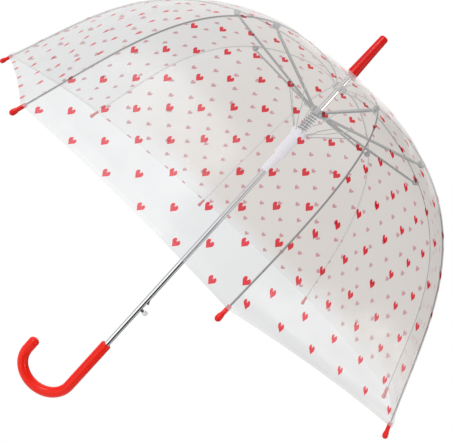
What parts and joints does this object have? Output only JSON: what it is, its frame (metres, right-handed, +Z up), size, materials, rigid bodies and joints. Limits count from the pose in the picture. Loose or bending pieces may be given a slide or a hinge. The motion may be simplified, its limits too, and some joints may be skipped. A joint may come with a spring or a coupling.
{
  "type": "dome umbrella",
  "caption": "Clear dome umbrella, open: see-through film panels with small red hearts on steel ribs, a bright shaft with a sliding runner, red ferrule, red tips and a red crook handle",
  "frame": {"origin": "on the shaft's axis inside the straight grip of the handle, where a hand holds it", "axes": "+Z up along the shaft to the ferrule, +X to the side where the release button stands out, the crook opens to -X"},
  "size_m": [0.817, 0.8159, 0.7978],
  "materials": {
    "shaft_tube": "bright plated tube",
    "crook_handle": "glossy red",
    "ferrule": "glossy red",
    "crown_washer": "pale collar",
    "crown_notch": "white",
    "upper_hub": "pale grey",
    "runner": "white",
    "coil_spring": "bright wire",
    "spring_catch": "dark steel",
    "release_button_stem": "dark steel",
    "release_button_cap": "milky white",
    "rib": "dark grey wire",
    "rib_tip": "glossy red",
    "stretcher": "grey channel",
    "link": "thin wire",
    "canopy_gore": "clear film with small red hearts",
    "canopy_hem": "doubled clear film"
  },
  "bodies": {
    "frame": {"shaft_tube": "shaft_tube", "crook_handle": "crook_handle", "ferrule": "ferrule", "crown_washer": "crown_washer", "crown_notch": "crown_notch"},
    "rib_1": {"rib_1": "rib"},
    "tip_1": {"rib_tip_1": "rib_tip"},
    "stretcher_1": {"stretcher_1": "stretcher"},
    "link_1": {"link_1": "link"},
    "gore_1": {"canopy_gore_1": "canopy_gore"},
    "hem_1": {"canopy_hem_1": "canopy_hem"},
    "rib_2": {"rib_2": "rib"},
    "tip_2": {"rib_tip_2": "rib_tip"},
    "stretcher_2": {"stretcher_2": "stretcher"},
    "link_2": {"link_2": "link"},
    "gore_2": {"canopy_gore_2": "canopy_gore"},
    "hem_2": {"canopy_hem_2": "canopy_hem"},
    "rib_3": {"rib_3": "rib"},
    "tip_3": {"rib_tip_3": "rib_tip"},
    "stretcher_3": {"stretcher_3": "stretcher"},
    "link_3": {"link_3": "link"},
    "gore_3": {"canopy_gore_3": "canopy_gore"},
    "hem_3": {"canopy_hem_3": "canopy_hem"},
    "rib_4": {"rib_4": "rib"},
    "tip_4": {"rib_tip_4": "rib_tip"},
    "stretcher_4": {"stretcher_4": "stretcher"},
    "link_4": {"link_4": "link"},
    "gore_4": {"canopy_gore_4": "canopy_gore"},
    "hem_4": {"canopy_hem_4": "canopy_hem"},
    "rib_5": {"rib_5": "rib"},
    "tip_5": {"rib_tip_5": "rib_tip"},
    "stretcher_5": {"stretcher_5": "stretcher"},
    "link_5": {"link_5": "link"},
    "gore_5": {"canopy_gore_5": "canopy_gore"},
    "hem_5": {"canopy_hem_5": "canopy_hem"},
    "rib_6": {"rib_6": "rib"},
    "tip_6": {"rib_tip_6": "rib_tip"},
    "stretcher_6": {"stretcher_6": "stretcher"},
    "link_6": {"link_6": "link"},
    "gore_6": {"canopy_gore_6": "canopy_gore"},
    "hem_6": {"canopy_hem_6": "canopy_hem"},
    "rib_7": {"rib_7": "rib"},
    "tip_7": {"rib_tip_7": "rib_tip"},
    "stretcher_7": {"stretcher_7": "stretcher"},
    "link_7": {"link_7": "link"},
    "gore_7": {"canopy_gore_7": "canopy_gore"},
    "hem_7": {"canopy_hem_7": "canopy_hem"},
    "rib_8": {"rib_8": "rib"},
    "tip_8": {"rib_tip_8": "rib_tip"},
    "stretcher_8": {"stretcher_8": "stretcher"},
    "link_8": {"link_8": "link"},
    "gore_8": {"canopy_gore_8": "canopy_gore"},
    "hem_8": {"canopy_hem_8": "canopy_hem"},
    "upper_hub": {"upper_hub": "upper_hub"},
    "runner": {"runner": "runner", "coil_spring": "coil_spring"},
    "button": {"release_button_stem": "release_button_stem", "release_button_cap": "release_button_cap"},
    "catch": {"spring_catch": "spring_catch"}
  },
  "joints": [
    {"name": "rib_1_fold", "type": "hinge", "parent": "frame", "child": "rib_1", "pos_m": [0.00941, 0.0013, 0.5959], "axis": [-0.1366, 0.9906, 0], "range_deg": [0, 76.32], "stiffness_Nm_per_rad": 0.6, "springref_deg": -171.89},
    {"name": "rib_1_flex", "type": "hinge", "parent": "rib_1", "child": "tip_1", "pos_m": [0.18941, 0.02611, 0.57625], "axis": [-0.1366, 0.9906, 0], "range_deg": [-43.72, 0], "deforming": ["rib_1"]},
    {"name": "stretcher_1_turn", "type": "hinge", "parent": "rib_1", "child": "stretcher_1", "pos_m": [0.18941, 0.02611, 0.5714], "axis": [-0.1366, 0.9906, 0], "range_deg": [-153.64, 0]},
    {"name": "rib_2_fold", "type": "hinge", "parent": "frame", "child": "rib_2", "pos_m": [0.00574, 0.00757, 0.5959], "axis": [-0.7971, 0.6039, 0], "range_deg": [0, 76.82]},
    {"name": "rib_2_flex", "type": "hinge", "parent": "rib_2", "child": "tip_2", "pos_m": [0.11547, 0.1524, 0.57625], "axis": [-0.7971, 0.6039, 0], "range_deg": [-43.72, 0], "deforming": ["rib_2"]},
    {"name": "stretcher_2_turn", "type": "hinge", "parent": "rib_2", "child": "stretcher_2", "pos_m": [0.11547, 0.1524, 0.5714], "axis": [-0.7971, 0.6039, 0], "range_deg": [-153.64, 0]},
    {"name": "rib_3_fold", "type": "hinge", "parent": "frame", "child": "rib_3", "pos_m": [-0.0013, 0.00941, 0.5959], "axis": [-0.9906, -0.1366, 0], "range_deg": [0, 76.82]},
    {"name": "rib_3_flex", "type": "hinge", "parent": "rib_3", "child": "tip_3", "pos_m": [-0.02611, 0.18941, 0.57625], "axis": [-0.9906, -0.1366, 0], "range_deg": [-43.72, 0], "deforming": ["rib_3"]},
    {"name": "stretcher_3_turn", "type": "hinge", "parent": "rib_3", "child": "stretcher_3", "pos_m": [-0.02611, 0.18941, 0.5714], "axis": [-0.9906, -0.1366, 0], "range_deg": [-153.64, 0]},
    {"name": "rib_4_fold", "type": "hinge", "parent": "frame", "child": "rib_4", "pos_m": [-0.00757, 0.00574, 0.5959], "axis": [-0.6039, -0.7971, 0], "range_deg": [0, 76.82]},
    {"name": "rib_4_flex", "type": "hinge", "parent": "rib_4", "child": "tip_4", "pos_m": [-0.1524, 0.11547, 0.57625], "axis": [-0.6039, -0.7971, 0], "range_deg": [-43.72, 0], "deforming": ["rib_4"]},
    {"name": "stretcher_4_turn", "type": "hinge", "parent": "rib_4", "child": "stretcher_4", "pos_m": [-0.1524, 0.11547, 0.5714], "axis": [-0.6039, -0.7971, 0], "range_deg": [-153.64, 0]},
    {"name": "rib_5_fold", "type": "hinge", "parent": "frame", "child": "rib_5", "pos_m": [-0.00941, -0.0013, 0.5959], "axis": [0.1366, -0.9906, 0], "range_deg": [0, 76.82]},
    {"name": "rib_5_flex", "type": "hinge", "parent": "rib_5", "child": "tip_5", "pos_m": [-0.18941, -0.02611, 0.57625], "axis": [0.1366, -0.9906, 0], "range_deg": [-43.72, 0], "deforming": ["rib_5"]},
    {"name": "stretcher_5_turn", "type": "hinge", "parent": "rib_5", "child": "stretcher_5", "pos_m": [-0.18941, -0.02611, 0.5714], "axis": [0.1366, -0.9906, 0], "range_deg": [-153.64, 0]},
    {"name": "rib_6_fold", "type": "hinge", "parent": "frame", "child": "rib_6", "pos_m": [-0.00574, -0.00757, 0.5959], "axis": [0.7971, -0.6039, 0], "range_deg": [0, 76.82]},
    {"name": "rib_6_flex", "type": "hinge", "parent": "rib_6", "child": "tip_6", "pos_m": [-0.11547, -0.1524, 0.57625], "axis": [0.7971, -0.6039, 0], "range_deg": [-43.72, 0], "deforming": ["rib_6"]},
    {"name": "stretcher_6_turn", "type": "hinge", "parent": "rib_6", "child": "stretcher_6", "pos_m": [-0.11547, -0.1524, 0.5714], "axis": [0.7971, -0.6039, 0], "range_deg": [-153.64, 0]},
    {"name": "rib_7_fold", "type": "hinge", "parent": "frame", "child": "rib_7", "pos_m": [0.00256, -0.00915, 0.5959], "axis": [0.9629, 0.2698, 0], "range_deg": [0, 76.82]},
    {"name": "rib_7_flex", "type": "hinge", "parent": "rib_7", "child": "tip_7", "pos_m": [0.05158, -0.18411, 0.57625], "axis": [0.9629, 0.2698, 0], "range_deg": [-43.72, 0], "deforming": ["rib_7"]},
    {"name": "stretcher_7_turn", "type": "hinge", "parent": "rib_7", "child": "stretcher_7", "pos_m": [0.05158, -0.18411, 0.5714], "axis": [0.9629, 0.2698, 0], "range_deg": [-153.64, 0]},
    {"name": "rib_8_fold", "type": "hinge", "parent": "frame", "child": "rib_8", "pos_m": [0.00757, -0.00574, 0.5959], "axis": [0.6039, 0.7971, 0], "range_deg": [0, 76.82]},
    {"name": "rib_8_flex", "type": "hinge", "parent": "rib_8", "child": "tip_8", "pos_m": [0.1524, -0.11547, 0.57625], "axis": [0.6039, 0.7971, 0], "range_deg": [-43.72, 0], "deforming": ["rib_8"]},
    {"name": "stretcher_8_turn", "type": "hinge", "parent": "rib_8", "child": "stretcher_8", "pos_m": [0.1524, -0.11547, 0.5714], "axis": [0.6039, 0.7971, 0], "range_deg": [-153.64, 0]},
    {"name": "hub_turn", "type": "hinge", "parent": "stretcher_1", "child": "upper_hub", "pos_m": [0.00941, 0.0013, 0.5469], "axis": [-0.1366, 0.9906, 0], "range_deg": [0, 76.82]},
    {"name": "runner_slide", "type": "slide", "parent": "upper_hub", "child": "runner", "axis": [0, 0, 1], "range_m": [0, 0.02566], "deforming": ["coil_spring"]},
    {"name": "link_1_turn", "type": "hinge", "parent": "runner", "child": "link_1", "pos_m": [0.01169, 0.00161, 0.5068], "axis": [-0.1366, 0.9906, 0], "range_deg": [-47.36, 0]},
    {"name": "gore_1_fold", "type": "hinge", "parent": "frame", "child": "gore_1", "pos_m": [0.00757, 0.00443, 0.5959], "axis": [-0.5053, 0.863, 0], "range_deg": [0, 76.82], "deforming": ["canopy_gore_1"]},
    {"name": "hem_1_flex", "type": "hinge", "parent": "gore_1", "child": "hem_1", "pos_m": [0.15244, 0.08926, 0.57625], "axis": [-0.5053, 0.863, 0], "range_deg": [-43.72, 0], "deforming": ["canopy_hem_1"]},
    {"name": "link_2_turn", "type": "hinge", "parent": "runner", "child": "link_2", "pos_m": [0.00713, 0.00941, 0.5068], "axis": [-0.7971, 0.6039, 0], "range_deg": [-47.36, 0]},
    {"name": "gore_2_fold", "type": "hinge", "parent": "frame", "child": "gore_2", "pos_m": [0.00222, 0.00849, 0.5959], "axis": [-0.9675, 0.2529, 0], "range_deg": [0, 76.82], "deforming": ["canopy_gore_2"]},
    {"name": "hem_2_flex", "type": "hinge", "parent": "gore_2", "child": "hem_2", "pos_m": [0.04468, 0.1709, 0.57625], "axis": [-0.9675, 0.2529, 0], "range_deg": [-43.72, 0], "deforming": ["canopy_hem_2"]},
    {"name": "link_3_turn", "type": "hinge", "parent": "runner", "child": "link_3", "pos_m": [-0.00161, 0.01169, 0.5068], "axis": [-0.9906, -0.1366, 0], "range_deg": [-47.36, 0]},
    {"name": "gore_3_fold", "type": "hinge", "parent": "frame", "child": "gore_3", "pos_m": [-0.00443, 0.00757, 0.5959], "axis": [-0.863, -0.5053, 0], "range_deg": [0, 76.82], "deforming": ["canopy_gore_3"]},
    {"name": "hem_3_flex", "type": "hinge", "parent": "gore_3", "child": "hem_3", "pos_m": [-0.08926, 0.15244, 0.57625], "axis": [-0.863, -0.5053, 0], "range_deg": [-43.72, 0], "deforming": ["canopy_hem_3"]},
    {"name": "link_4_turn", "type": "hinge", "parent": "runner", "child": "link_4", "pos_m": [-0.00941, 0.00713, 0.5068], "axis": [-0.6039, -0.7971, 0], "range_deg": [-47.36, 0]},
    {"name": "gore_4_fold", "type": "hinge", "parent": "frame", "child": "gore_4", "pos_m": [-0.00849, 0.00222, 0.5959], "axis": [-0.2529, -0.9675, 0], "range_deg": [0, 76.82], "deforming": ["canopy_gore_4"]},
    {"name": "hem_4_flex", "type": "hinge", "parent": "gore_4", "child": "hem_4", "pos_m": [-0.1709, 0.04468, 0.57625], "axis": [-0.2529, -0.9675, 0], "range_deg": [-43.72, 0], "deforming": ["canopy_hem_4"]},
    {"name": "link_5_turn", "type": "hinge", "parent": "runner", "child": "link_5", "pos_m": [-0.01169, -0.00161, 0.5068], "axis": [0.1366, -0.9906, 0], "range_deg": [-47.36, 0]},
    {"name": "gore_5_fold", "type": "hinge", "parent": "frame", "child": "gore_5", "pos_m": [-0.00757, -0.00443, 0.5959], "axis": [0.5053, -0.863, 0], "range_deg": [0, 76.82], "deforming": ["canopy_gore_5"]},
    {"name": "hem_5_flex", "type": "hinge", "parent": "gore_5", "child": "hem_5", "pos_m": [-0.15244, -0.08926, 0.57625], "axis": [0.5053, -0.863, 0], "range_deg": [-43.72, 0], "deforming": ["canopy_hem_5"]},
    {"name": "link_6_turn", "type": "hinge", "parent": "runner", "child": "link_6", "pos_m": [-0.00713, -0.00941, 0.5068], "axis": [0.7971, -0.6039, 0], "range_deg": [-47.36, 0]},
    {"name": "gore_6_fold", "type": "hinge", "parent": "frame", "child": "gore_6", "pos_m": [-0.00222, -0.00849, 0.5959], "axis": [0.9675, -0.2529, 0], "range_deg": [0, 76.82], "deforming": ["canopy_gore_6"]},
    {"name": "hem_6_flex", "type": "hinge", "parent": "gore_6", "child": "hem_6", "pos_m": [-0.04468, -0.1709, 0.57625], "axis": [0.9675, -0.2529, 0], "range_deg": [-43.72, 0], "deforming": ["canopy_hem_6"]},
    {"name": "link_7_turn", "type": "hinge", "parent": "runner", "child": "link_7", "pos_m": [0.00318, -0.01136, 0.5068], "axis": [0.9629, 0.2698, 0], "range_deg": [-47.36, 0]},
    {"name": "gore_7_fold", "type": "hinge", "parent": "frame", "child": "gore_7", "pos_m": [0.00443, -0.00757, 0.5959], "axis": [0.863, 0.5053, 0], "range_deg": [0, 76.82], "deforming": ["canopy_gore_7"]},
    {"name": "hem_7_flex", "type": "hinge", "parent": "gore_7", "child": "hem_7", "pos_m": [0.08926, -0.15244, 0.57625], "axis": [0.863, 0.5053, 0], "range_deg": [-43.72, 0], "deforming": ["canopy_hem_7"]},
    {"name": "link_8_turn", "type": "hinge", "parent": "runner", "child": "link_8", "pos_m": [0.00941, -0.00713, 0.5068], "axis": [0.6039, 0.7971, 0], "range_deg": [-47.36, 0]},
    {"name": "gore_8_fold", "type": "hinge", "parent": "frame", "child": "gore_8", "pos_m": [0.00849, -0.00222, 0.5959], "axis": [0.2529, 0.9675, 0], "range_deg": [0, 76.82], "deforming": ["canopy_gore_8"]},
    {"name": "hem_8_flex", "type": "hinge", "parent": "gore_8", "child": "hem_8", "pos_m": [0.1709, -0.04468, 0.57625], "axis": [0.2529, 0.9675, 0], "range_deg": [-43.72, 0], "deforming": ["canopy_hem_8"]},
    {"name": "button_press", "type": "slide", "parent": "frame", "child": "button", "axis": [-1, 0, 0], "range_m": [0, 0.003], "stiffness_N_per_m": 400, "springref_m": -0.002},
    {"name": "catch_retract", "type": "slide", "parent": "frame", "child": "catch", "axis": [-1, 0, 0], "range_m": [0, 0.0031]}
  ],
  "couplings": [
    {"joint": "rib_1_flex", "follows": "rib_1_fold", "ratio": -0.56635},
    {"joint": "stretcher_1_turn", "follows": "rib_1_fold", "ratio": -2},
    {"joint": "rib_2_fold", "follows": "rib_1_fold", "ratio": 1},
    {"joint": "rib_2_flex", "follows": "rib_1_fold", "ratio": -0.56635},
    {"joint": "stretcher_2_turn", "follows": "rib_1_fold", "ratio": -2},
    {"joint": "rib_3_fold", "follows": "rib_1_fold", "ratio": 1},
    {"joint": "rib_3_flex", "follows": "rib_1_fold", "ratio": -0.56635},
    {"joint": "stretcher_3_turn", "follows": "rib_1_fold", "ratio": -2},
    {"joint": "rib_4_fold", "follows": "rib_1_fold", "ratio": 1},
    {"joint": "rib_4_flex", "follows": "rib_1_fold", "ratio": -0.56635},
    {"joint": "stretcher_4_turn", "follows": "rib_1_fold", "ratio": -2},
    {"joint": "rib_5_fold", "follows": "rib_1_fold", "ratio": 1},
    {"joint": "rib_5_flex", "follows": "rib_1_fold", "ratio": -0.56635},
    {"joint": "stretcher_5_turn", "follows": "rib_1_fold", "ratio": -2},
    {"joint": "rib_6_fold", "follows": "rib_1_fold", "ratio": 1},
    {"joint": "rib_6_flex", "follows": "rib_1_fold", "ratio": -0.56635},
    {"joint": "stretcher_6_turn", "follows": "rib_1_fold", "ratio": -2},
    {"joint": "rib_7_fold", "follows": "rib_1_fold", "ratio": 1},
    {"joint": "rib_7_flex", "follows": "rib_1_fold", "ratio": -0.56635},
    {"joint": "stretcher_7_turn", "follows": "rib_1_fold", "ratio": -2},
    {"joint": "rib_8_fold", "follows": "rib_1_fold", "ratio": 1},
    {"joint": "rib_8_flex", "follows": "rib_1_fold", "ratio": -0.56635},
    {"joint": "stretcher_8_turn", "follows": "rib_1_fold", "ratio": -2},
    {"joint": "hub_turn", "follows": "rib_1_fold", "ratio": 1},
    {"joint": "runner_slide", "follows": "rib_1_fold", "m_per_rad": 0.018887},
    {"joint": "link_1_turn", "follows": "rib_1_fold", "ratio": -0.61403},
    {"joint": "gore_1_fold", "follows": "rib_1_fold", "ratio": 1},
    {"joint": "hem_1_flex", "follows": "rib_1_fold", "ratio": -0.56635},
    {"joint": "link_2_turn", "follows": "rib_1_fold", "ratio": -0.61403},
    {"joint": "gore_2_fold", "follows": "rib_1_fold", "ratio": 1},
    {"joint": "hem_2_flex", "follows": "rib_1_fold", "ratio": -0.56635},
    {"joint": "link_3_turn", "follows": "rib_1_fold", "ratio": -0.61403},
    {"joint": "gore_3_fold", "follows": "rib_1_fold", "ratio": 1},
    {"joint": "hem_3_flex", "follows": "rib_1_fold", "ratio": -0.56635},
    {"joint": "link_4_turn", "follows": "rib_1_fold", "ratio": -0.61403},
    {"joint": "gore_4_fold", "follows": "rib_1_fold", "ratio": 1},
    {"joint": "hem_4_flex", "follows": "rib_1_fold", "ratio": -0.56635},
    {"joint": "link_5_turn", "follows": "rib_1_fold", "ratio": -0.61403},
    {"joint": "gore_5_fold", "follows": "rib_1_fold", "ratio": 1},
    {"joint": "hem_5_flex", "follows": "rib_1_fold", "ratio": -0.56635},
    {"joint": "link_6_turn", "follows": "rib_1_fold", "ratio": -0.61403},
    {"joint": "gore_6_fold", "follows": "rib_1_fold", "ratio": 1},
    {"joint": "hem_6_flex", "follows": "rib_1_fold", "ratio": -0.56635},
    {"joint": "link_7_turn", "follows": "rib_1_fold", "ratio": -0.61403},
    {"joint": "gore_7_fold", "follows": "rib_1_fold", "ratio": 1},
    {"joint": "hem_7_flex", "follows": "rib_1_fold", "ratio": -0.56635},
    {"joint": "link_8_turn", "follows": "rib_1_fold", "ratio": -0.61403},
    {"joint": "gore_8_fold", "follows": "rib_1_fold", "ratio": 1},
    {"joint": "hem_8_flex", "follows": "rib_1_fold", "ratio": -0.56635},
    {"joint": "catch_retract", "follows": "button_press", "ratio": 1}
  ]
}
